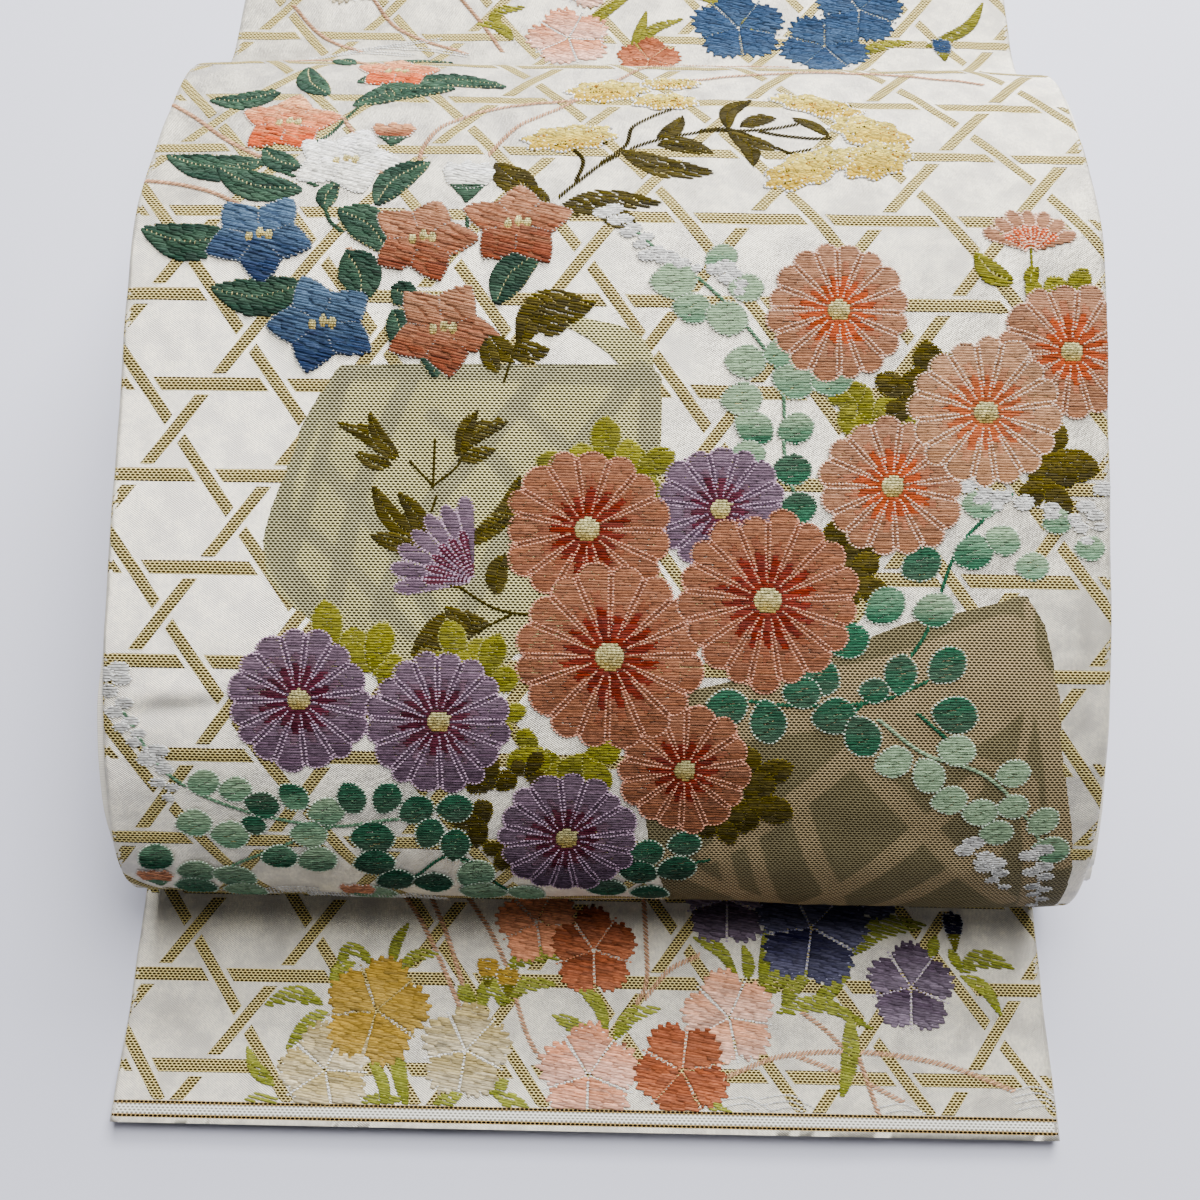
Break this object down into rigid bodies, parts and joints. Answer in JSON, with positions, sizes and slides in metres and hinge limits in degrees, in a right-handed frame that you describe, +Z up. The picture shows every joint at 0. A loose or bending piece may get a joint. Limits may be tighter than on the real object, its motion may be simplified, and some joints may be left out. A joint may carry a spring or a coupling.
{
  "type": "obi sash",
  "caption": "Wide fukuro obi sash of figured silk, folded for display, with its tail flat in front and its drum raised over folded layers.",
  "frame": {"origin": "on the surface that the obi lies on, under the middle of its box", "axes": "+Z up from the surface, +Y along the cloth from the tail's tip to the far end, +X across the cloth"},
  "size_m": [0.3195, 0.4581, 0.1125],
  "materials": {
    "figured_front_cloth": "ivory silk satin with a woven gold basket lattice and flowers in floating pattern wefts",
    "plain_back_cloth": "plain cream silk, fine cross rib, soft sheen"
  },
  "bodies": {
    "root": {"tail_front_cloth": "figured_front_cloth", "tail_back_cloth": "plain_back_cloth", "drum_front_cloth": "figured_front_cloth", "drum_back_cloth": "plain_back_cloth", "top_run_front_cloth": "figured_front_cloth", "top_run_back_cloth": "plain_back_cloth", "folded_layers": "plain_back_cloth"}
  },
  "joints": []
}
